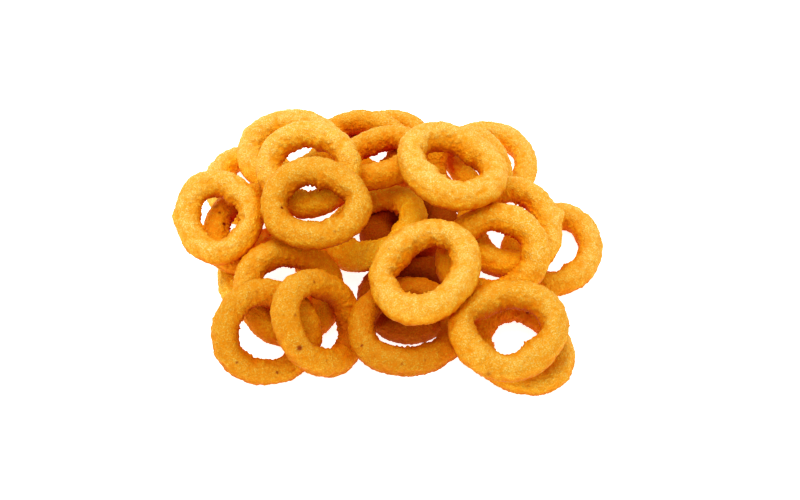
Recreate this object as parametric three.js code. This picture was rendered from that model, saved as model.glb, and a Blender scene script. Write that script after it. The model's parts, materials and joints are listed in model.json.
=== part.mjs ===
// A side of breaded onion rings, heaped as they lie on a table.
// Every ring is a separate closed solid. Millimetres, +Z up, the table at z = 0.
import * as THREE from 'three';

// Driving dimensions
const CLEARANCE = 0.3;        // air left where one ring rests on another
const STEPS_ROUND_RING = 24;  // facets round the ring
const STEPS_ROUND_TUBE = 10;  // facets round the breaded tube
const SETTLE_STEPS = 96;      // finer steps for finding where two rings touch
const SOLE = 0.9;             // height of the flat under a ring on the table, in tube radii
const OUT_OF_ROUND = 0.025;   // wobble of a ring's radius, as a share of it
const SIDES = 3;              // swellings of that wobble round the ring
const OUT_OF_FLAT = 0.5;      // how far a fried ring's middle line waves up and down
const WAVES = 2;              // waves of the middle line round the ring
const THIN_STRETCH = 0.06;    // how much thinner the breading gets on one side of the ring
const LUMP = 0.03;            // depth of the hollows between the breading's lumps, in tube radii
const LUMPS = 5;              // rows of lumps round the ring
const LUMP_SLANT = 2;         // turns that a row of lumps makes round the tube
const WAVE_SHIFT = 2.4;       // radians between one ring's waves and the next one's

// The crumb coat fries to three shades.
const SHADES = {
  pale: { color: 0xf2b84b, roughness: 0.85 },
  golden: { color: 0xe9a338, roughness: 0.85 },
  deep: { color: 0xd8862a, roughness: 0.85 },
};

// The heap, from the table up. x and y place a ring's middle; its long and short are the two
// radii of its middle line, and turn is the compass angle of the long one. It leans by lean
// degrees, so that its side at the compass angle toward is the low one. Angles run from +X to +Y.
const flat = { lean: 0, toward: 0 };
const LAYOUT = [
  { name: 'ring_front_under', x: 9, y: -16, ...flat,
    long: 17.5, short: 17.5, turn: 0, tube: 6, shade: 'deep' },
  { name: 'ring_left_under', x: -54, y: -2, ...flat,
    long: 20, short: 18.5, turn: 105, tube: 6, shade: 'deep' },
  { name: 'ring_back_left_low', x: -66, y: 53, ...flat,
    long: 17.5, short: 16, turn: 90, tube: 6, shade: 'pale' },
  { name: 'ring_right_end', x: 75.5, y: 13, ...flat,
    long: 21.5, short: 17.5, turn: 65, tube: 5.9, shade: 'pale' },
  { name: 'ring_front_right_low', x: 59, y: -42, ...flat,
    long: 21.5, short: 17, turn: 120, tube: 5.8, shade: 'golden' },
  { name: 'ring_back_right_low', x: 49, y: 68, ...flat,
    long: 20, short: 16.5, turn: 115, tube: 5.3, shade: 'pale' },
  { name: 'ring_back_middle_low', x: 1, y: 75, ...flat,
    long: 18.5, short: 17, turn: 90, tube: 5.8, shade: 'golden' },
  { name: 'ring_middle_under', x: 10, y: 26, ...flat,
    long: 13.5, short: 13, turn: 0, tube: 5.5, shade: 'deep' },
  { name: 'ring_left_second', x: -64, y: 13.5, lean: 10, toward: -55,
    long: 18.5, short: 15.5, turn: 75, tube: 5.8, shade: 'deep' },
  { name: 'ring_left_third', x: -45, y: -20.5, lean: 33, toward: -60,
    long: 19, short: 18.5, turn: 175, tube: 6.6, shade: 'golden' },
  { name: 'ring_front_left', x: -54, y: -45, lean: 42, toward: -75,
    long: 19, short: 18, turn: 175, tube: 5.8, shade: 'deep' },
  { name: 'ring_front_left_leaning', x: -30.5, y: -42.5, lean: 51, toward: -25,
    long: 20.5, short: 17.5, turn: 170, tube: 6, shade: 'deep' },
  { name: 'ring_front_middle', x: 8.5, y: -41.5, lean: 11, toward: -50,
    long: 21.5, short: 18, turn: 20, tube: 6.1, shade: 'deep' },
  { name: 'ring_back_right_second', x: 37, y: 53, lean: 30, toward: -120,
    long: 17.5, short: 14.5, turn: 135, tube: 6, shade: 'pale' },
  { name: 'ring_right_second', x: 55.5, y: 14, lean: 10, toward: -105,
    long: 20.5, short: 18, turn: 100, tube: 6.3, shade: 'pale' },
  { name: 'ring_right_third', x: 47, y: -7.5, lean: 29, toward: -105,
    long: 20, short: 17.5, turn: 20, tube: 6.3, shade: 'golden' },
  { name: 'ring_front_right', x: 52.5, y: -49, lean: 10, toward: -85,
    long: 20.5, short: 18, turn: 15, tube: 6.3, shade: 'golden' },
  { name: 'ring_back_middle_second', x: -12.5, y: 65, lean: 14, toward: -155,
    long: 20, short: 16.5, turn: 150, tube: 5.9, shade: 'deep' },
  { name: 'ring_middle_second', x: -6.4, y: 17, lean: 19, toward: 165,
    long: 20, short: 18, turn: 35, tube: 6, shade: 'deep' },
  { name: 'ring_back_left_second', x: -47, y: 60.3, lean: 13, toward: -155,
    long: 19, short: 15.5, turn: 0, tube: 6.7, shade: 'pale' },
  { name: 'ring_back_middle_third', x: -4, y: 46, lean: 14, toward: 145,
    long: 17.5, short: 13, turn: 15, tube: 5.8, shade: 'golden' },
  { name: 'ring_left_end', x: -77, y: 10.5, lean: 16, toward: -105,
    long: 17.5, short: 14.5, turn: 105, tube: 5.8, shade: 'pale' },
  { name: 'ring_back_left_third', x: -36.8, y: 32.8, lean: 25, toward: -120,
    long: 19, short: 17, turn: 155, tube: 6, shade: 'pale' },
  { name: 'ring_left_top', x: -32.7, y: 6.5, lean: 20, toward: -105,
    long: 19, short: 15.5, turn: 170, tube: 6.3, shade: 'golden' },
  { name: 'ring_back_right_top', x: 29, y: 28.2, lean: 15, toward: 25,
    long: 19.8, short: 18.8, turn: 130, tube: 6.7, shade: 'pale' },
  { name: 'ring_front_middle_top', x: 16, y: -25.6, lean: 10, toward: -155,
    long: 21, short: 18, turn: 60, tube: 6.5, shade: 'pale' },
];

// The turn of a ring: about its own axis, then tipped toward its low side.
function attitude(ring) {
  const lean = THREE.MathUtils.degToRad(ring.lean);
  const toward = THREE.MathUtils.degToRad(ring.toward);
  const turn = THREE.MathUtils.degToRad(ring.turn);
  const up = new THREE.Vector3(0, 0, 1);
  const across = new THREE.Vector3(0, 1, 0);
  return new THREE.Quaternion()
    .setFromAxisAngle(up, toward)
    .multiply(new THREE.Quaternion().setFromAxisAngle(across, lean))
    .multiply(new THREE.Quaternion().setFromAxisAngle(up, turn - toward));
}

// The middle line of a ring at an angle round it, in the ring's own frame.
function middleLine(ring, angle) {
  const wobble = 1 + OUT_OF_ROUND * Math.sin(SIDES * angle + ring.phase);
  const wave = OUT_OF_FLAT * Math.sin(WAVES * (angle + ring.phase));
  return new THREE.Vector3(
    ring.long * wobble * Math.cos(angle),
    ring.short * wobble * Math.sin(angle),
    ring.lean === 0 ? 0 : wave,
  );
}

// The breading's radius at an angle round the ring: never more than the ring's tube.
function tubeRadius(ring, angle) {
  const thin = (1 - Math.cos(angle - ring.phase)) / 2;
  return ring.tube * (1 - THIN_STRETCH * thin);
}

// Lowers a ring until it touches the table or a ring that already lies there.
function settle(ring, lying) {
  const line = [];
  for (let i = 0; i < SETTLE_STEPS; i++) {
    const angle = (2 * Math.PI * i) / SETTLE_STEPS;
    const point = middleLine(ring, angle).applyQuaternion(ring.attitude);
    line.push({ x: ring.x + point.x, y: ring.y + point.y, z: point.z, radius: tubeRadius(ring, angle) });
  }
  const sole = ring.lean === 0 ? SOLE * ring.tube : ring.tube;
  let height = Math.max(...line.map((point) => sole - point.z));
  for (const point of line) {
    for (const other of lying) {
      const reach = point.radius + other.radius + CLEARANCE;
      const apart = Math.hypot(point.x - other.x, point.y - other.y);
      if (apart < reach) {
        height = Math.max(height, other.z + Math.sqrt(reach ** 2 - apart ** 2) - point.z);
      }
    }
  }
  line.forEach((point) => { point.z += height; });
  lying.push(...line);
  return height;
}

// How deep the breading dips between its lumps, from 0 to 1, at an angle round the ring and an
// angle around the tube.
function hollow(ring, angle, around) {
  const slanted = Math.sin(LUMPS * angle + LUMP_SLANT * around + ring.phase);
  const crossing = Math.cos(SIDES * angle - around);
  return (1 + slanted * crossing) / 2;
}

// A closed ring of facets: a lumpy tube swept round the middle line.
function ringGeometry(ring) {
  const positions = [];
  const faces = [];
  const floor = ring.lean === 0 ? -SOLE * ring.tube : -Infinity;
  for (let i = 0; i < STEPS_ROUND_RING; i++) {
    const angle = (2 * Math.PI * i) / STEPS_ROUND_RING;
    const middle = middleLine(ring, angle);
    const outward = new THREE.Vector3(middle.x, middle.y, 0).normalize();
    for (let j = 0; j < STEPS_ROUND_TUBE; j++) {
      const around = (2 * Math.PI * j) / STEPS_ROUND_TUBE;
      const radius = tubeRadius(ring, angle) * (1 - LUMP * hollow(ring, angle, around));
      const vertex = middle.clone().addScaledVector(outward, radius * Math.cos(around));
      positions.push(vertex.x, vertex.y, Math.max(floor, vertex.z + radius * Math.sin(around)));
      const nextI = ((i + 1) % STEPS_ROUND_RING) * STEPS_ROUND_TUBE;
      const nextJ = (j + 1) % STEPS_ROUND_TUBE;
      const thisI = i * STEPS_ROUND_TUBE;
      faces.push(thisI + j, nextI + j, nextI + nextJ);
      faces.push(thisI + j, nextI + nextJ, thisI + nextJ);
    }
  }
  const geometry = new THREE.BufferGeometry();
  geometry.setAttribute('position', new THREE.Float32BufferAttribute(positions, 3));
  geometry.setIndex(faces);
  return geometry;
}

function crumbCoat(shade) {
  const { color, roughness } = SHADES[shade];
  return new THREE.MeshStandardMaterial({ color, roughness, metalness: 0 });
}

const heap = new THREE.Group();
const lying = [];
LAYOUT.forEach((place, index) => {
  const ring = { ...place, phase: index * WAVE_SHIFT, attitude: attitude(place) };
  const mesh = new THREE.Mesh(ringGeometry(ring), crumbCoat(ring.shade));
  mesh.name = ring.name;
  mesh.position.set(ring.x, ring.y, settle(ring, lying));
  mesh.quaternion.copy(ring.attitude);
  heap.add(mesh);
});

// The origin is under the middle of the heap's box, on the table.
heap.updateMatrixWorld(true);
const middle = new THREE.Box3().setFromObject(heap, true).getCenter(new THREE.Vector3());
heap.position.set(-middle.x, -middle.y, 0);

const group = new THREE.Group();
group.add(heap);
export default group;
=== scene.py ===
# %% [markdown]
# # A heap of fried onion rings
#
# Twenty-six small onion rings lie in a loose heap, each one a round tube of onion under a fine,
# sandy crumb coat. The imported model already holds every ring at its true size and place, as a
# plain faceted tube. This notebook turns each of those tubes into fried food: it rounds the tube,
# gives it soft lumps, crumbs and torn edges as real geometry, and colours it from pale gold to
# deep orange.

# %% Load the frame
import json
import math

import bmesh
import bpy
from mathutils import Matrix, Vector, noise
from mathutils.bvhtree import BVHTree


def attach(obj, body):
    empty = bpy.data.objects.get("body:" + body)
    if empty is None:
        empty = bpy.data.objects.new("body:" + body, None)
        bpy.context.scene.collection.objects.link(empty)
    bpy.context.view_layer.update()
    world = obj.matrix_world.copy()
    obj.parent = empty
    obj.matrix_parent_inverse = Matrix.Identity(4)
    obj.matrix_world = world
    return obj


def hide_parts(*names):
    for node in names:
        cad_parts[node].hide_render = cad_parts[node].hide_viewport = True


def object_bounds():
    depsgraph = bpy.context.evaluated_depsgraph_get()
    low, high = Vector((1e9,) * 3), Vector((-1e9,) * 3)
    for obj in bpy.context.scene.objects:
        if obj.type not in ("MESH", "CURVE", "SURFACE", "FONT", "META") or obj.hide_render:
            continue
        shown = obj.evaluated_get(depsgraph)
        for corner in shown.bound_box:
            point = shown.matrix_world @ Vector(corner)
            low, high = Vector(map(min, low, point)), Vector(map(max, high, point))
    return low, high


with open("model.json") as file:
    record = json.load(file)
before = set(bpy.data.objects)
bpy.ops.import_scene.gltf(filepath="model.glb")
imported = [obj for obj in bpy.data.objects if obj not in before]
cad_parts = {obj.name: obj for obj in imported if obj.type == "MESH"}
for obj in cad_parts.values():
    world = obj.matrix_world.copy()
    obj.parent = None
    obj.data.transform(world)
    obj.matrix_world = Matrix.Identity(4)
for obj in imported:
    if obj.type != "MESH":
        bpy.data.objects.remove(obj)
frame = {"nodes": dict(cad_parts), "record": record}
cad_bounds = [list(corner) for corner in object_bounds()]
MM = 0.001
print("rings in the frame:", len(frame["nodes"]))

# %% [markdown]
# ## The camera
#
# The heap is seen from the front and from well above, through a long lens, so the rings behind
# look hardly smaller than the ones in front. A camera could be turned by hand angles, but here it
# is placed from three facts: the point it aims at, how far away it stands, and how high above the
# table it looks from. A small shift of the lens then moves that point off the picture's middle.

# %% Camera
AIM = Vector((-1.0, -13.1, 20.0)) * MM
CAMERA_RISE = math.radians(51.0)
CAMERA_DISTANCE = 1010 * MM
LENS = 100.0
SENSOR = 36.0
FARTHEST_SEEN = 20.0
IMAGE_WIDTH, IMAGE_HEIGHT = 800, 500
AIM_PIXEL = (388.5, 252.0)

camera_data = bpy.data.cameras.new("camera")
camera_data.lens = LENS
camera_data.sensor_width = SENSOR
camera_data.clip_end = FARTHEST_SEEN
camera_data.shift_x = (IMAGE_WIDTH / 2 - AIM_PIXEL[0]) / IMAGE_WIDTH
camera_data.shift_y = (AIM_PIXEL[1] - IMAGE_HEIGHT / 2) / IMAGE_WIDTH
camera = bpy.data.objects.new("camera", camera_data)
bpy.context.scene.collection.objects.link(camera)
toward_camera = Vector((0.0, -math.cos(CAMERA_RISE), math.sin(CAMERA_RISE)))
camera.location = AIM + CAMERA_DISTANCE * toward_camera
camera.rotation_euler = (math.pi / 2 - CAMERA_RISE, 0.0, 0.0)
bpy.context.scene.camera = camera
print("camera stands at", [round(value, 3) for value in camera.location])

# %% [markdown]
# ## The light
#
# Fried food looks best in the light of a white tent. Several lamps could stand round the heap, but
# each would throw its own shadow. Here a pale world glows evenly from all round, and one wide soft
# lamp overhead draws a gentle highlight along the top of each ring.

# %% Light
WORLD_COLOUR = (1.0, 1.0, 1.0, 1.0)
WORLD_STRENGTH = 0.82
LAMP_SIZE = 1.1
LAMP_POWER = 10.8
LAMP_PLACE = Vector((-0.2, 0.2, 1.3))

scene = bpy.context.scene
scene.view_settings.view_transform = "Standard"
scene.view_settings.look = "Medium High Contrast"

world = bpy.data.worlds.new("tent")
world.use_nodes = True
glow = world.node_tree.nodes["Background"]
glow.inputs["Color"].default_value = WORLD_COLOUR
glow.inputs["Strength"].default_value = WORLD_STRENGTH
scene.world = world

lamp_data = bpy.data.lights.new("overhead_softbox", "AREA")
lamp_data.shape = "SQUARE"
lamp_data.size = LAMP_SIZE
lamp_data.energy = LAMP_POWER
lamp = bpy.data.objects.new("overhead_softbox", lamp_data)
lamp.location = LAMP_PLACE
lamp.rotation_euler = (-LAMP_PLACE).to_track_quat("-Z", "Y").to_euler()
scene.collection.objects.link(lamp)
print("lamp hangs", round(LAMP_PLACE.length, 2), "m from the heap")

# %% [markdown]
# ## The floor
#
# The heap lies on a white table. A curved backdrop could hide where the table ends, but one plane
# much larger than the heap does the same. It glows a little, so that it stays white even in the
# gaps between the rings and sends some light up under them.

# %% Floor
FLOOR_SIZE = 6.0
FLOOR_COLOUR = (0.93, 0.93, 0.93, 1.0)
FLOOR_ROUGHNESS = 0.9
FLOOR_LIT = 0.76

floor_mesh = bpy.data.meshes.new("floor")
bm = bmesh.new()
bmesh.ops.create_grid(bm, x_segments=1, y_segments=1, size=FLOOR_SIZE / 2)
bm.to_mesh(floor_mesh)
bm.free()
floor = bpy.data.objects.new("floor", floor_mesh)
scene.collection.objects.link(floor)
floor_paint = bpy.data.materials.new("pale_floor")
floor_paint.use_nodes = True
paint = floor_paint.node_tree.nodes["Principled BSDF"]
paint.inputs["Base Color"].default_value = FLOOR_COLOUR
paint.inputs["Roughness"].default_value = FLOOR_ROUGHNESS
paint.inputs["Emission Color"].default_value = FLOOR_COLOUR
paint.inputs["Emission Strength"].default_value = FLOOR_LIT
floor_mesh.materials.append(floor_paint)
print("floor is", FLOOR_SIZE, "m across")

# %% [markdown]
# ## The crumb coat
#
# A fried crumb coat isn't one colour. Patches of it fry lighter or deeper, each grain's tip is
# painted pale as a painted highlight and its foot orange as painted shade, and the hollows between
# the lumps are painted deepest, as painted shade. An image could be wrapped round each ring, but
# noise in the object's own space costs nothing and never shows a seam. Three small helpers add one
# node at a time, so that the recipes below them read in order.

# %% Helpers for a coat
NOISE_ROUGHNESS = 0.55


def link(tree, source, output, target, field):
    """Joins one node's output to another's input."""
    tree.links.new(source.outputs[output], target.inputs[field])


def add(tree, kind, **settings):
    """Adds a node and sets what it is given: names of inputs, or of its own properties."""
    node = tree.nodes.new(kind)
    for name, value in settings.items():
        if name in node.inputs:
            node.inputs[name].default_value = value
        else:
            setattr(node, name, value)
    return node


def noise_layer(tree, place, cells_per_metre, detail, low, high):
    """Smooth noise in the object's space, stretched so that low becomes 0 and high becomes 1."""
    settings = {"Scale": cells_per_metre, "Detail": detail, "Roughness": NOISE_ROUGHNESS}
    texture = add(tree, "ShaderNodeTexNoise", **settings)
    link(tree, place, "Object", texture, "Vector")
    stretch = add(tree, "ShaderNodeMapRange", **{"From Min": low, "From Max": high})
    link(tree, texture, "Fac", stretch, "Value")
    return stretch


print("a layer of noise takes", ("ShaderNodeTexNoise", "ShaderNodeMapRange"))

# %% [markdown]
# ## Blending colours
#
# On fried crumbs no colour ends at a line: each runs into the next. A ramp could hold them all,
# but a ramp follows one value, and here each colour comes from another cause. So the colours are
# laid over each other one at a time, as a glaze is, by mixing or by multiplying.

# %% Blending colours
# A mix node has a set of sockets for each kind of value. These are the ones it uses for colours.
MIX_SHARE, MIX_FIRST, MIX_SECOND = 0, 6, 7
MIXED = 2


def mix(tree, first, second, share_node, share_output):
    """A colour between first and second. Each is a colour or a mix node that gives one."""
    blend = add(tree, "ShaderNodeMix", data_type="RGBA")
    link(tree, share_node, share_output, blend, MIX_SHARE)
    for socket, colour in ((MIX_FIRST, first), (MIX_SECOND, second)):
        if isinstance(colour, tuple):
            blend.inputs[socket].default_value = (*colour, 1.0)
        else:
            link(tree, colour, MIXED, blend, socket)
    return blend


def multiply(tree, colour, tint):
    """The colour of a mix node, multiplied by the tint that another node gives as its Color."""
    product = add(tree, "ShaderNodeMix", data_type="RGBA", blend_type="MULTIPLY")
    product.inputs[MIX_SHARE].default_value = 1.0
    link(tree, colour, MIXED, product, MIX_FIRST)
    link(tree, tint, "Color", product, MIX_SECOND)
    return product


print("ways to blend:", [helper.__name__ for helper in (mix, multiply)])

# %% [markdown]
# ## Sand on a coat
#
# Up close the coat is fine sand, each grain well under a millimetre. A grain's tip catches the
# light and its foot lies in a tiny orange shadow. Modelling every grain would need millions of
# faces, so one layer of noise gives both the finest bump and the grains' colour: a painted
# highlight on each tip and painted shade at each foot. The larger crumbs come with the mesh, which
# carries how high each place on it stands as an attribute, and its low places and the hole get the
# foot's painted shade.

# %% Sandy colour, painted highlights and shade
PATCHES_PER_METRE = 150.0
PATCH_DETAIL = 3.0
PATCH_RANGE = (0.3, 0.7)
GRAINS_PER_METRE = 1500.0
GRAIN_DETAIL = 2.0
GRAIN_RANGE = (0.33, 0.67)
# The foot's orange is painted shade at the grains' feet, in the hollows and in the hole, and the tip's
# pale colour is a painted highlight.
SHADED_FOOT = (0.92, 0.40, 0.02)
LIT_TIP = (0.98, 0.83, 0.56)
FOOT_SHADE_SHARE = 0.7
TIP_LIGHT_SHARE = 0.8
TIP_FROM = 0.55


def sandy_colour_and_shade(tree, place, grains, light, deep):
    """The coat's colour: patches of two tones, a painted highlight on each grain's tip, and painted
    shade at its foot and in the hollows.
    """
    patches = noise_layer(tree, place, PATCHES_PER_METRE, PATCH_DETAIL, *PATCH_RANGE)
    tone = mix(tree, deep, light, patches, "Result")
    foot_share = add(tree, "ShaderNodeMapRange", **{"To Min": 1.0 - FOOT_SHADE_SHARE})
    link(tree, grains, "Result", foot_share, "Value")
    footed = mix(tree, SHADED_FOOT, tone, foot_share, "Result")
    tip_share = add(tree, "ShaderNodeMapRange", **{"From Min": TIP_FROM, "To Max": TIP_LIGHT_SHARE})
    link(tree, grains, "Result", tip_share, "Value")
    tipped = mix(tree, footed, LIT_TIP, tip_share, "Result")
    # Painted shade: the low places and the hole take the foot's orange.
    height = add(tree, "ShaderNodeAttribute", attribute_name="crumb")
    return mix(tree, SHADED_FOOT, tipped, height, "Fac")


print("grains are", round(1000.0 / GRAINS_PER_METRE, 2), "mm across")

# %% [markdown]
# ## Painted shade where the rings shelter each other
#
# Where rings lie close, light reaches a place only after it has bounced off other orange crumbs,
# and each bounce takes more blue and green out of it. So the gaps of a heap look deep orange, then
# red brown. A renderer's own bounces do a part of this. A colour ramp along how open a place is
# paints the rest into the coat as painted shade, and paints the open places paler as a painted
# highlight. Both stay in the coat, where every viewer of the model sees them.

# %% Painted shade and highlight
# Each entry is how open a place is, and the tint it gets: painted shade, red brown, where other
# rings close a place in, and a paler painted highlight where it is open.
RAMP_OF_PAINTED_SHADE_AND_LIGHT = (
    (0.0, (1.0, 0.04, 0.002)),
    (0.15, (1.0, 0.19, 0.006)),
    (0.3, (0.97, 0.61, 0.026)),
    (0.5, (0.89, 0.61, 0.031)),
    (0.7, (0.80, 0.64, 0.13)),
    (0.85, (0.78, 0.68, 0.29)),
    (1.0, (0.78, 0.76, 0.51)),
)


def painted_light_and_browning(tree, colour):
    """A colour with painted shade where other rings close it in and a painted highlight where it is
    open, tinted by its ring's browning.
    """
    open_share = add(tree, "ShaderNodeAttribute", attribute_name="open")
    ramp = tree.nodes.new("ShaderNodeValToRGB")
    stops = ramp.color_ramp.elements
    for index, (place_on_ramp, tint) in enumerate(RAMP_OF_PAINTED_SHADE_AND_LIGHT):
        stop = stops[index] if index < len(stops) else stops.new(1.0)
        stop.position = place_on_ramp
        stop.color = (*tint, 1.0)
    link(tree, open_share, "Fac", ramp, "Fac")
    reddened = multiply(tree, colour, ramp)
    browning_and_painted_light_node = add(tree, "ShaderNodeAttribute", attribute_name="browning_and_painted_light")
    return multiply(tree, reddened, browning_and_painted_light_node)


print("stops from closed in to open:", len(RAMP_OF_PAINTED_SHADE_AND_LIGHT))

# %% [markdown]
# ## Relief finer than the mesh
#
# Even a dense mesh can't hold a grain's own dome. The grains could be left flat, but the dry,
# broken highlight of a crumb coat comes from them. Two bumps do it: one from the noise that also
# colours the grains, and one from round cells, which stand like small beads.

# %% Fine relief
BEADS_PER_METRE = 1100.0
BEAD_FOOT, BEAD_TOP = 0.65, 0.15
BEAD_RELIEF = 0.4 * MM
BEAD_STRENGTH = 0.5
SAND_RELIEF = 0.2 * MM
SAND_STRENGTH = 0.4


def fine_relief(tree, place, grains):
    """Bumps for the sand and the beads of a coat."""
    beads = add(tree, "ShaderNodeTexVoronoi", Scale=BEADS_PER_METRE)
    link(tree, place, "Object", beads, "Vector")
    domes = add(tree, "ShaderNodeMapRange", **{"From Min": BEAD_FOOT, "From Max": BEAD_TOP})
    link(tree, beads, "Distance", domes, "Value")
    sand = add(tree, "ShaderNodeBump", Strength=SAND_STRENGTH, Distance=SAND_RELIEF)
    link(tree, grains, "Result", sand, "Height")
    relief = add(tree, "ShaderNodeBump", Strength=BEAD_STRENGTH, Distance=BEAD_RELIEF)
    link(tree, domes, "Result", relief, "Height")
    link(tree, sand, "Normal", relief, "Normal")
    return relief


print("beads are", round(1000.0 / BEADS_PER_METRE, 2), "mm across")

# %% [markdown]
# ## Three shades of coat
#
# Rings from one basket leave the oil at different times, so some are pale, some golden and some
# deep. Each ring could have a colour of its own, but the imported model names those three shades, so
# each of them gets one material. A crumb coat is dry, so it is rough with hardly any shine, and a
# few crumbs have burnt almost black.

# %% Crumb coats
SHADES = {
    "crumb_pale": {"light": (0.98, 0.71, 0.30), "deep": (0.94, 0.57, 0.13)},
    "crumb_golden": {"light": (0.97, 0.66, 0.22), "deep": (0.92, 0.51, 0.08)},
    "crumb_deep": {"light": (0.96, 0.61, 0.16), "deep": (0.90, 0.46, 0.05)},
}
# Near-black for burnt crumbs, and laid on faintly over a few broad marks as painted shade and a painted
# shadow.
BURNT_CRUMB_AND_SHADE = (0.20, 0.008, 0.0)
DRY_ROUGHNESS = 0.55
DRY_SHINE = 0.06


def crumb_coat(name, light, deep):
    """The fried crumb coat in one shade."""
    material = bpy.data.materials.new(name)
    material.use_nodes = True
    tree = material.node_tree
    shader = tree.nodes["Principled BSDF"]
    place = tree.nodes.new("ShaderNodeTexCoord")
    grains = noise_layer(tree, place, GRAINS_PER_METRE, GRAIN_DETAIL, *GRAIN_RANGE)
    coat = painted_light_and_browning(tree, sandy_colour_and_shade(tree, place, grains, light, deep))
    burnt_and_shade = add(tree, "ShaderNodeAttribute", attribute_name="burnt_and_shade")
    specked_and_shaded = mix(tree, coat, BURNT_CRUMB_AND_SHADE, burnt_and_shade, "Fac")
    link(tree, specked_and_shaded, MIXED, shader, "Base Color")
    link(tree, fine_relief(tree, place, grains), "Normal", shader, "Normal")
    shader.inputs["Roughness"].default_value = DRY_ROUGHNESS
    shader.inputs["Specular IOR Level"].default_value = DRY_SHINE
    return material


coats = {name: crumb_coat(name, **tones) for name, tones in SHADES.items()}
print("crumb coats:", sorted(coats))

# %% [markdown]
# ## How open each place is
#
# How much light reaches a place depends on how much of the sky the other rings hide from it. That
# could be left to the renderer, but the coat's tint needs it as a number on the mesh. So rays are
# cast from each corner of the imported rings, evenly in all directions. A ray that gets away counts
# as light: most when it goes up to the lamp, and least when it ends on the pale floor.

# %% Rays and what they can hit
RAYS = 96


def all_round(count):
    """Directions spread evenly over a sphere, along a spiral from pole to pole."""
    golden_angle = math.pi * (3 - math.sqrt(5))
    ways = []
    for index in range(count):
        z = 1 - (2 * index + 1) / count
        level = math.sqrt(1 - z * z)
        turn = golden_angle * index
        ways.append(Vector((level * math.cos(turn), level * math.sin(turn), z)))
    return ways


def heap_tree():
    """Every ring's triangles in one tree, for casting rays."""
    points, triangles = [], []
    for node in frame["nodes"].values():
        first = len(points)
        points.extend(vertex.co.copy() for vertex in node.data.vertices)
        triangles.extend([first + index for index in face.vertices] for face in node.data.polygons)
    return BVHTree.FromPolygons(points, triangles)


heap = heap_tree()
directions = all_round(RAYS)
print("rays from each corner:", len(directions))

# %% [markdown]
# ## How much light gets in
#
# The rays of one place are added up. Each could count the same, but light that falls straight onto
# a crumb brightens it more than light that grazes it, so each counts by how squarely it leaves the
# coat. The sum is then set so that an open place has 1, and bent a little so that half hidden
# places stay light.

# %% How much light gets in
RAY_START = 0.3 * MM
RAY_REACH = 80 * MM
FLOOR_GLOW = 0.55
OVERHEAD_GLOW = 0.65
OVERHEAD_FOCUS = 3
# The rays' cosines add up to this much over the half of the sphere that a place faces.
HALF_SPHERE = RAYS / 4
FULL_LIGHT = 1.24
FALL = 0.75
overhead_way = LAMP_PLACE.normalized()


def openness(point, normal):
    """From 0 for a place that other rings close in, to 1 for one that sees the light."""
    light = 0.0
    for direction in directions:
        weight = direction.dot(normal)
        if weight <= 0:
            continue
        if heap.ray_cast(point + normal * RAY_START, direction, RAY_REACH)[0] is None:
            overhead = max(0.0, direction.dot(overhead_way)) ** OVERHEAD_FOCUS
            glow_there = 1.0 + OVERHEAD_GLOW * overhead if direction.z > 0 else FLOOR_GLOW
            light += weight * glow_there
    light = light / HALF_SPHERE / FULL_LIGHT
    return min(1.0, light) ** FALL


heap_top = Vector((0.0, 0.0, cad_bounds[1][2]))
print("open share over the middle of the heap:", round(openness(heap_top, Vector((0, 0, 1))), 2))

# %% [markdown]
# ## Rounding a ring
#
# Each node is a tube with 24 facets round the ring and 10 round the tube. Smooth shading alone
# would leave its outline in corners. So its loose triangles are merged and paired into squares,
# because a subdivision surface rounds squares evenly. Subdividing pulls a coarse tube inwards, so
# the surface is then pushed back out by a fixed amount.

# %% Round the ring
SUBDIVISIONS = 3
PULLED_IN = 0.38 * MM
STANDS_PROUD = 0.22 * MM
SAME_PLACE = 0.001 * MM
ANY_ANGLE = 3.14


def squared(node):
    """A ring's node as a mesh of squares, with how open each corner lies."""
    mesh = bpy.data.meshes.new(node.name + "_round")
    bm = bmesh.new()
    bm.from_mesh(node.data)
    bmesh.ops.remove_doubles(bm, verts=bm.verts, dist=SAME_PLACE)
    thresholds = {"angle_face_threshold": ANY_ANGLE, "angle_shape_threshold": ANY_ANGLE}
    bmesh.ops.join_triangles(bm, faces=bm.faces, **thresholds)
    bm.normal_update()
    layer = bm.verts.layers.float.new("open")
    for vertex in bm.verts:
        vertex[layer] = openness(vertex.co, vertex.normal)
    bm.to_mesh(mesh)
    bm.free()
    return mesh


def rounded(node):
    """A smooth mesh of a ring, made from its faceted node."""
    mesh = squared(node)
    ring = bpy.data.objects.new(mesh.name, mesh)
    scene.collection.objects.link(ring)
    subdivide = ring.modifiers.new("round", "SUBSURF")
    subdivide.levels = SUBDIVISIONS
    subdivide.render_levels = SUBDIVISIONS
    bpy.context.view_layer.update()
    evaluated = ring.evaluated_get(bpy.context.evaluated_depsgraph_get())
    smooth = bpy.data.meshes.new_from_object(evaluated)
    bpy.data.objects.remove(ring)
    bpy.data.meshes.remove(mesh)
    return smooth


print("each square of a ring becomes", 4 ** SUBDIVISIONS, "faces")

# %% [markdown]
# ## How a ring lies
#
# Lumps and tears differ between the outside of a ring and its hole, so each point has to know on
# which side it is. The rings lean in many directions, and their leans could be copied here as a
# list. They are found from the shape instead: a ring's points spread least along its axis.

# %% How a ring lies
AXIS_GUESS = Vector((0.1, 0.2, 1.0))
AXIS_STEPS = 30


def axis_of(mesh):
    """A ring's centre and the direction of its axis, from the spread of its points."""
    centre = sum((vertex.co for vertex in mesh.vertices), Vector()) / len(mesh.vertices)
    spread = Matrix.Diagonal((0.0, 0.0, 0.0))
    for vertex in mesh.vertices:
        arm = vertex.co - centre
        for row in range(3):
            spread[row] = spread[row] + arm * arm[row]
    shrink = spread.inverted()
    axis = AXIS_GUESS
    for _ in range(AXIS_STEPS):
        axis = (shrink @ axis).normalized()
    return centre, axis if axis.z > 0 else -axis


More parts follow.
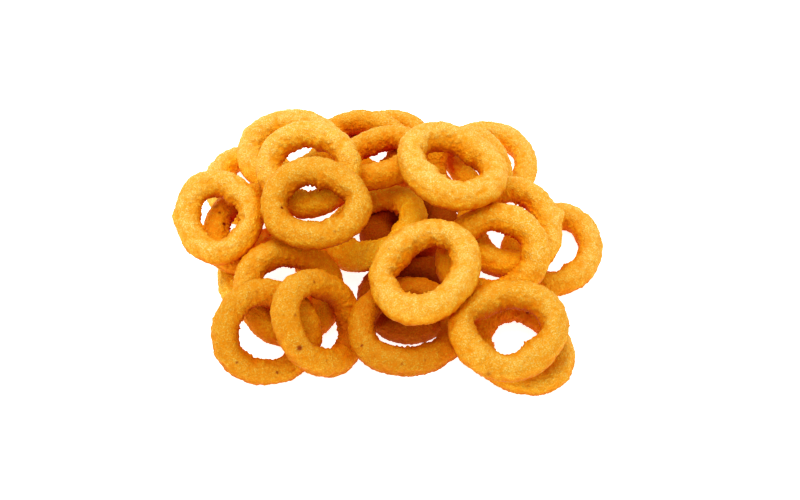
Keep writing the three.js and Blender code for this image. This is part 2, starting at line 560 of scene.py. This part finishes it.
def outward_at(point, centre, axis):
    """The direction from a ring's axis out to a point."""
    arm = point - centre
    return (arm - axis * arm.dot(axis)).normalized()


def compass(arm):
    """The compass angle of a direction in degrees, from +X towards +Y."""
    return math.degrees(math.atan2(arm.y, arm.x))


def apart(first, second):
    """The difference between two angles in degrees, from 0 to 180."""
    return abs((first - second + 180.0) % 360.0 - 180.0)


_, top_axis = axis_of(frame["nodes"]["ring_front_middle_top"].data)
top_lean = math.degrees(top_axis.angle(Vector((0, 0, 1))))
print("the top front ring leans", round(top_lean), "degrees")

# %% [markdown]
# ## Uneven holes
#
# No onion slice has a round hole once it is coated. The crumbs pile up on one side and leave a
# notch on another. Noise alone would put those swellings anywhere, so the largest of them are listed
# for each ring, and noise only adds the small ones.

# %% Uneven holes
# Each entry is a compass direction from the ring's middle, how many degrees it spreads to either
# side, and how many millimetres the limb stands further into the hole there. A minus is a notch.
HOLE_EDGES = {
    "ring_front_middle_top": (
        (185, 11, -2.2), (130, 26, 2.0), (48, 7, -0.8), (-42, 12, -1.0), (10, 16, 1.0),
    ),
    "ring_front_right": (
        (166, 10, -2.0), (130, 20, 1.6), (222, 16, 1.2), (2, 12, -1.0), (-48, 22, 1.6),
    ),
    "ring_left_end": ((-20, 9, -1.4), (60, 14, 1.2), (215, 16, 0.8)),
    "ring_back_right_top": ((-15, 12, -1.6), (52, 26, 2.2), (168, 10, -1.2), (222, 12, 1.4)),
    "ring_left_top": ((2, 12, -1.4), (180, 20, -1.0), (75, 8, 1.0), (-60, 14, 1.0)),
    "ring_back_left_third": ((60, 12, 1.0), (120, 18, 1.2)),
    "ring_front_left": ((200, 16, 0.8), (-70, 14, -0.8)),
    "ring_front_left_leaning": ((95, 14, 1.0), (-100, 12, -1.0)),
    "ring_right_third": ((60, 18, 1.0), (170, 14, 0.8)),
    "ring_right_end": ((80, 14, 1.0), (10, 12, -0.8), (-60, 16, 1.2)),
    "ring_middle_second": ((-148, 28, 4.0), (-108, 18, 1.0), (-30, 16, 1.8)),
}


def hole_edge(name, way):
    """How far a ring's inner side stands into its hole in a compass direction, in metres."""
    total = 0.0
    for middle, spread, height in HOLE_EDGES.get(name, ()):
        total += height * math.exp(-((apart(way, middle) / spread) ** 2))
    return total * MM


print("rings with a shaped hole:", len(HOLE_EDGES))

# %% [markdown]
# ## Marks on the coat
#
# The eye knows fried food by its accidents: a burnt crumb, a blister, a dent where two rings stuck
# together. They could come from noise too, but a few that are placed look more like chance than
# many that are spread. Each is one soft bump or dent on one ring, given by where it sits and how
# large it is. A few broad, faint dark ones are painted shade inside holes and a painted shadow of
# one ring on another.

# %% Marks
# Each entry is a compass direction from the ring's middle, the angle round the tube (0 outside,
# 90 on top, 180 inside), the radius and the height in millimetres, and how dark it is: small
# marks are burnt crumbs, and the broad faint ones are painted shade.
MARKS = {
    "ring_left_second": (
        (-178, 125, 0.7, 0.0, 1.0), (160, 90, 0.5, 0.0, 1.0), (150, 60, 0.9, 0.1, 0.4),
    ),
    "ring_left_top": (
        (-166, 125, 0.65, 0.0, 1.0), (73, 95, 1.3, -0.8, 0.0),
        (-80, 60, 0.8, 0.2, 0.2), (-62, 70, 0.5, 0.2, 0.4),
    ),
    "ring_front_left": (
        (-74, 90, 0.5, 0.0, 1.0), (-132, 90, 0.45, 0.0, 0.9), (110, 80, 0.5, 0.1, 0.4),
    ),
    "ring_front_left_leaning": (
        (-115, 55, 1.0, 0.15, 0.9), (-142, 90, 0.55, 0.1, 0.6),
        (104, 90, 0.6, 0.1, 0.7), (-80, 90, 0.4, 0.1, 0.5),
        # These two broad, faint marks inside the hole are painted shade.
        (-15, 170, 4.0, 0.0, 0.22), (20, 170, 4.0, 0.0, 0.2),
    ),
    "ring_front_middle": (
        (-143, 55, 0.5, 0.0, 1.0), (-98, 55, 0.6, 0.2, 0.5), (-70, 60, 0.5, 0.2, 0.4),
    ),
    "ring_front_right_low": (
        # The first mark is a burnt crumb; the two broad, faint ones are a painted shadow of the ring
        # that lies over this one.
        (77, 125, 0.7, 0.0, 1.0), (75, 100, 6.0, 0.0, 0.25), (112, 100, 5.0, 0.0, 0.2),
    ),
    # Both broad, faint marks are painted shade inside the hole.
    "ring_middle_second": ((95, 150, 4.0, 0.0, 0.14), (50, 150, 4.0, 0.0, 0.14)),
    "ring_front_right": (
        (-112, 16, 1.0, -0.9, 0.45), (-105, 22, 0.9, 0.4, 0.0), (52, 95, 1.6, -0.5, 0.0),
    ),
    "ring_back_right_top": (
        (165, 125, 0.9, -0.6, 0.2), (-109, 150, 1.4, 0.9, 0.0), (47, 110, 0.8, -0.4, 0.1),
    ),
    "ring_right_second": ((10, 20, 2.4, 2.2, 0.0),),
    "ring_back_left_third": ((67, 160, 0.8, 0.5, 0.3), (39, 160, 1.1, 0.7, 0.1)),
    "ring_left_third": ((96, 125, 0.8, 0.5, 0.0),),
    "ring_left_end": ((178, 0, 3.0, 0.7, 0.0), (-20, 120, 1.2, -0.6, 0.0)),
    "ring_front_middle_top": ((42, 120, 1.3, -0.6, 0.0), (150, 95, 0.4, 0.1, 0.4)),
    # The large lifts on the two rings under the heap fill gaps where the floor would show between the
    # rings above them; browned darkest, they stand in for deep shade there.
    "ring_middle_under": (
        (-164, 20, 8.0, 4.8, 0.0), (8, 30, 9.0, 5.4, 0.0), (-58, 0, 4.5, 1.8, 0.0),
    ),
    "ring_front_under": ((61, 45, 3.5, 1.8, 0.0),),
}
print("marks:", sum(len(marks) for marks in MARKS.values()))

# %% [markdown]
# ## Setting the marks
#
# A mark has to sit on its ring at every size and lean. It could be given as a point in space, but
# a direction and an angle round the tube are easier to read off a ring. The point of the ring that
# is nearest to them becomes the middle of the mark, which fades out round it like a soft thumb
# print, with its darkest part, burnt crumb and painted shade alike, in the middle.

# %% Setting the marks
ROUND_TUBE_SHARE = 0.3
DARK_CORE = 1.6


def nearest_place(mesh, centre, axis, way, up):
    """The point of a ring nearest to a compass direction and an angle round the tube."""

    def miss(vertex):
        outward = outward_at(vertex.co, centre, axis)
        around = math.degrees(math.atan2(vertex.normal.dot(axis), vertex.normal.dot(outward)))
        return apart(compass(vertex.co - centre), way) + ROUND_TUBE_SHARE * apart(around, up)

    return min(mesh.vertices, key=miss).co.copy()


def mark_places(name, mesh, centre, axis):
    """For each mark on a ring, the point it sits on with its radius, height and dark share, from burnt
    crumbs and painted shade.
    """
    return [
        (nearest_place(mesh, centre, axis, way, up), radius * MM, height * MM, burnt_and_shade)
        for way, up, radius, height, burnt_and_shade in MARKS.get(name, ())
    ]


def marked(marks, point):
    """How far the marks of a ring lift a point, and how dark they make it with burnt crumbs and painted
    shade.
    """
    lift, burn_and_shade = 0.0, 0.0
    for place, radius, height, burnt_and_shade in marks:
        share = math.exp(-(((point - place).length / radius) ** 2))
        lift += height * share
        burn_and_shade = max(burn_and_shade, burnt_and_shade * min(1.0, DARK_CORE * share))
    return lift, burn_and_shade


print("rings without a mark:", len(frame["nodes"]) - len(MARKS))

# %% [markdown]
# ## Browned places, painted shade and painted light
#
# Most rings at the front are browner all over than their shade of coat, and the two that lie deep
# under the heap are browned darkest, as painted shade. Several rings at the back and in the middle
# are painted lighter where other rings shade them, as painted light. Every ring is also painted
# darker on its underside, and a browned one inside its hole, as painted shade. Painting that by
# hand would have to be done again whenever a ring moves. Instead one number for each ring says how
# brown it is: above zero it is browned all over and shaded inside its hole, and below zero it is
# painted lighter where other rings shelter it. The tints are multiplied in by that much.

# %% Browning, painted shade and painted light
# The first tint browns a ring all over and paints shade inside its hole, the second is painted light
# where other rings shade a ring, and the third is painted shade on the underside.
BROWNED_AND_SHADED = (0.60, 0.42, 0.10)
PAINTED_LIGHT_IN_SHADE = (1.12, 1.50, 3.60)
UNDERSIDE_SHADE = (0.62, 0.40, 0.14)
BROWN_ALL_OVER = 0.75
INSIDE_SHADE = 0.9
PAINTED_LIGHT_WHEN_OPEN = 0.12
UNDER_SHADE_FROM = 0.2
BROWNING_AND_PAINTED_LIGHT_BY_RING = {
    "ring_front_middle": 0.72,
    "ring_front_left": 0.4,
    "ring_front_left_leaning": 0.36,
    # The two rings deep under the heap are browned darkest, as painted shade.
    "ring_front_under": 1.6,
    "ring_middle_under": 1.6,
    "ring_left_third": 0.2,
    "ring_left_second": 0.14,
    "ring_left_top": 0.3,
    "ring_front_right": 0.2,
    "ring_front_middle_top": 0.06,
    "ring_back_middle_third": 0.14,
    "ring_back_middle_second": 0.12,
    "ring_right_end": 0.06,
    "ring_back_right_second": 0.05,
    # Below zero: painted light, which lightens a ring where other rings shade it.
    "ring_middle_second": -1.6,
    "ring_left_under": -1.8,
    "ring_back_left_low": -1.5,
    "ring_right_second": -0.35,
    "ring_back_left_second": -0.9,
    "ring_back_left_third": -0.7,
    "ring_back_right_low": -0.7,
}


def browning_and_painted_light_tint(share, open_share, inside, facing_up):
    """The tint of a place on a ring, from how it faces and how open it lies: browning, painted shade on
    the underside and in the hole, and painted light in other rings' shade.
    """
    brown = max(0.0, share) * (BROWN_ALL_OVER + INSIDE_SHADE * inside ** 2)
    pale = max(0.0, -share) * (1.0 - open_share + PAINTED_LIGHT_WHEN_OPEN)
    under = max(0.0, UNDER_SHADE_FROM - facing_up)
    tints = zip(BROWNED_AND_SHADED, PAINTED_LIGHT_IN_SHADE, UNDERSIDE_SHADE)
    return [dark ** brown * light ** pale * low ** under for dark, light, low in tints] + [1.0]


print("rings browner or paler than their shade:", len(BROWNING_AND_PAINTED_LIGHT_BY_RING))

# %% [markdown]
# ## Crumbs and torn edges
#
# A real ring is rolled in crumbs, and where it is pressed apart its coat tears, so that jagged
# crumbs stand up in patches round its hole. Crumbs could be scattered over a ring as thousands of
# loose grains. As heights of the coat's own surface they can't float or overlap, and each ring
# stays one clean mesh. Round cells give the crumbs, and noise the tears.

# %% Crumbs and torn edges
CRUMB_SIZE = 1.0 * MM
CRUMB_DEPTH = 0.42 * MM
CRUMB_SLOPE = 1.3
TORN_SIZE = 1.2 * MM
TORN_DEPTH = 1.9 * MM
TORN_PATCH = 6 * MM
TORN_LEVEL = 0.5
TORN_CONTRAST = 1.5


def crumb_height(point):
    """How high the crumbs stand at a point, from 0 at a crumb's foot to about 1 at its tip."""
    distances, _ = noise.voronoi(point / CRUMB_SIZE)
    return max(0.0, 1.0 - CRUMB_SLOPE * distances[0])


def torn_height(point):
    """How high the torn crumbs of a hole's edge stand: jagged in patches, smooth between them."""
    patch = TORN_LEVEL + TORN_CONTRAST * noise.noise(point / TORN_PATCH)
    return max(0.0, noise.noise(point / TORN_SIZE)) * min(1.0, max(0.0, patch))


print("crumbs stand", round(CRUMB_DEPTH / MM, 2), "mm high, torn ones", round(TORN_DEPTH / MM, 2), "mm")

# %% [markdown]
# ## Pale tips and deep hollows
#
# Whatever stands high on a ring is painted pale, as a painted highlight, and the hollows and the
# hole are painted deep orange, as painted shade. A material could guess this from its own noise,
# but then the colour wouldn't follow the shape. So the heights that shape a place also say how pale
# it is painted, and the mesh carries that to its coat.

# %% How pale a place is painted
PALE_LEVEL = 0.6
PALE_CRUMB, PALE_KNOT, PALE_LUMP = 0.6, 0.8, 0.3
# Painted shade on the inner wall of the hole.
PAINTED_HOLE_SHADE = 0.55


def painted_paleness(crumb, knot, lump, inside):
    """How pale a place is painted, from 0, painted shade in the deepest hollows, to 1, a painted
    highlight on the tips.
    """
    pale = PALE_LEVEL + PALE_CRUMB * crumb + PALE_KNOT * knot + PALE_LUMP * lump
    return min(1.0, max(0.0, pale - PAINTED_HOLE_SHADE * inside ** 2))


def keep_on_points(mesh, name, kind, field, values):
    """Stores one value for each point of a ring, for its coat to read."""
    mesh.attributes.new(name, kind, "POINT").data.foreach_set(field, values)


print("paleness outside:", painted_paleness(0, 0, 0, 0), "and in the hole:", round(painted_paleness(0, 0, 0, 1), 2))

# %% [markdown]
# ## Lumps, and everything together
#
# Under the crumbs the batter has broad soft lumps and smaller knots. A displace modifier could add
# one kind of them at a time. Moving the points in code adds lumps, knots, crumbs, marks and the
# shape of the hole together, makes the hole rougher than the outside, and keeps a ring on the
# table from sinking into it.

# %% Shape the coat
LUMP_SIZE = 7 * MM
LUMP_DEPTH = 0.5 * MM
LUMP_FALL, LUMP_STEP, LUMP_LAYERS = 1.0, 2.0, 2
KNOT_SIZE = 2.4 * MM
KNOT_DEPTH = 0.4 * MM
SAND_SIZE = 0.75 * MM
SAND_DEPTH = 0.3 * MM
SWELL_SIZE = 8 * MM
SWELL_DEPTH = 0.9 * MM


def coated(name, mesh):
    """Moves a smooth ring's points out into lumps, knots and crumbs."""
    centre, axis = axis_of(mesh)
    marks = mark_places(name, mesh, centre, axis)
    normals = [vertex.normal.copy() for vertex in mesh.vertices]
    open_shares = [place.value for place in mesh.attributes["open"].data]
    pales, burns_and_shades, tints = [], [], []
    for vertex, normal, open_share in zip(mesh.vertices, normals, open_shares):
        point = vertex.co.copy()
        inside = max(0.0, -normal.dot(outward_at(point, centre, axis)))
        crumb = crumb_height(point)
        knot = noise.noise(point / KNOT_SIZE)
        lump = noise.fractal(point / LUMP_SIZE, LUMP_FALL, LUMP_STEP, LUMP_LAYERS)
        lift, burn_and_shade = marked(marks, point)
        out = PULLED_IN + STANDS_PROUD + LUMP_DEPTH * lump + KNOT_DEPTH * knot
        out += CRUMB_DEPTH * crumb + SAND_DEPTH * noise.noise(point / SAND_SIZE) + lift
        if inside > 0:
            edge = hole_edge(name, compass(point - centre))
            out += (edge + SWELL_DEPTH * noise.noise(point / SWELL_SIZE)) * inside
            out += TORN_DEPTH * torn_height(point) * inside ** 2
        pales.append(painted_paleness(crumb, knot, lump, inside))
        burns_and_shades.append(burn_and_shade)
        tints.extend(browning_and_painted_light_tint(BROWNING_AND_PAINTED_LIGHT_BY_RING.get(name, 0.0), open_share, inside, normal.z))
        vertex.co = point + normal * out
        vertex.co.z = max(0.0, vertex.co.z)
    # The crumb attribute carries a painted highlight on high places and painted shade in the hollows
    # and the hole.
    keep_on_points(mesh, "crumb", "FLOAT", "value", pales)
    keep_on_points(mesh, "burnt_and_shade", "FLOAT", "value", burns_and_shades)
    # This attribute carries the browning together with painted shade and painted light.
    keep_on_points(mesh, "browning_and_painted_light", "FLOAT_COLOR", "color", tints)
    mesh.polygons.foreach_set("use_smooth", [True] * len(mesh.polygons))
    mesh.update()


print("lumps are", round(LUMP_SIZE / MM, 1), "mm across, knots", round(KNOT_SIZE / MM, 1), "mm")

# %% [markdown]
# ## Making every ring
#
# Each ring is fried on its own. One ring could be made and copied, but the eye finds copies in a
# heap at once. So none is a copy of another: the same noise meets every ring at a different place.
# One loop rounds, coats and tints each ring, gives it its shade, and puts it in the place of its
# plain node.

# %% Make every ring
slots = {row["node"]: row["material_slot"] for row in frame["record"]["subparts"]}
triangles = 0
for name, node in sorted(frame["nodes"].items()):
    mesh = rounded(node)
    coated(name, mesh)
    mesh.materials.clear()
    mesh.materials.append(coats[slots[name]])
    ring = bpy.data.objects.new(name + "_fried", mesh)
    scene.collection.objects.link(ring)
    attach(ring, "root")
    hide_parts(name)
    triangles += sum(len(face.vertices) - 2 for face in mesh.polygons)
print("triangles in all rings:", triangles)
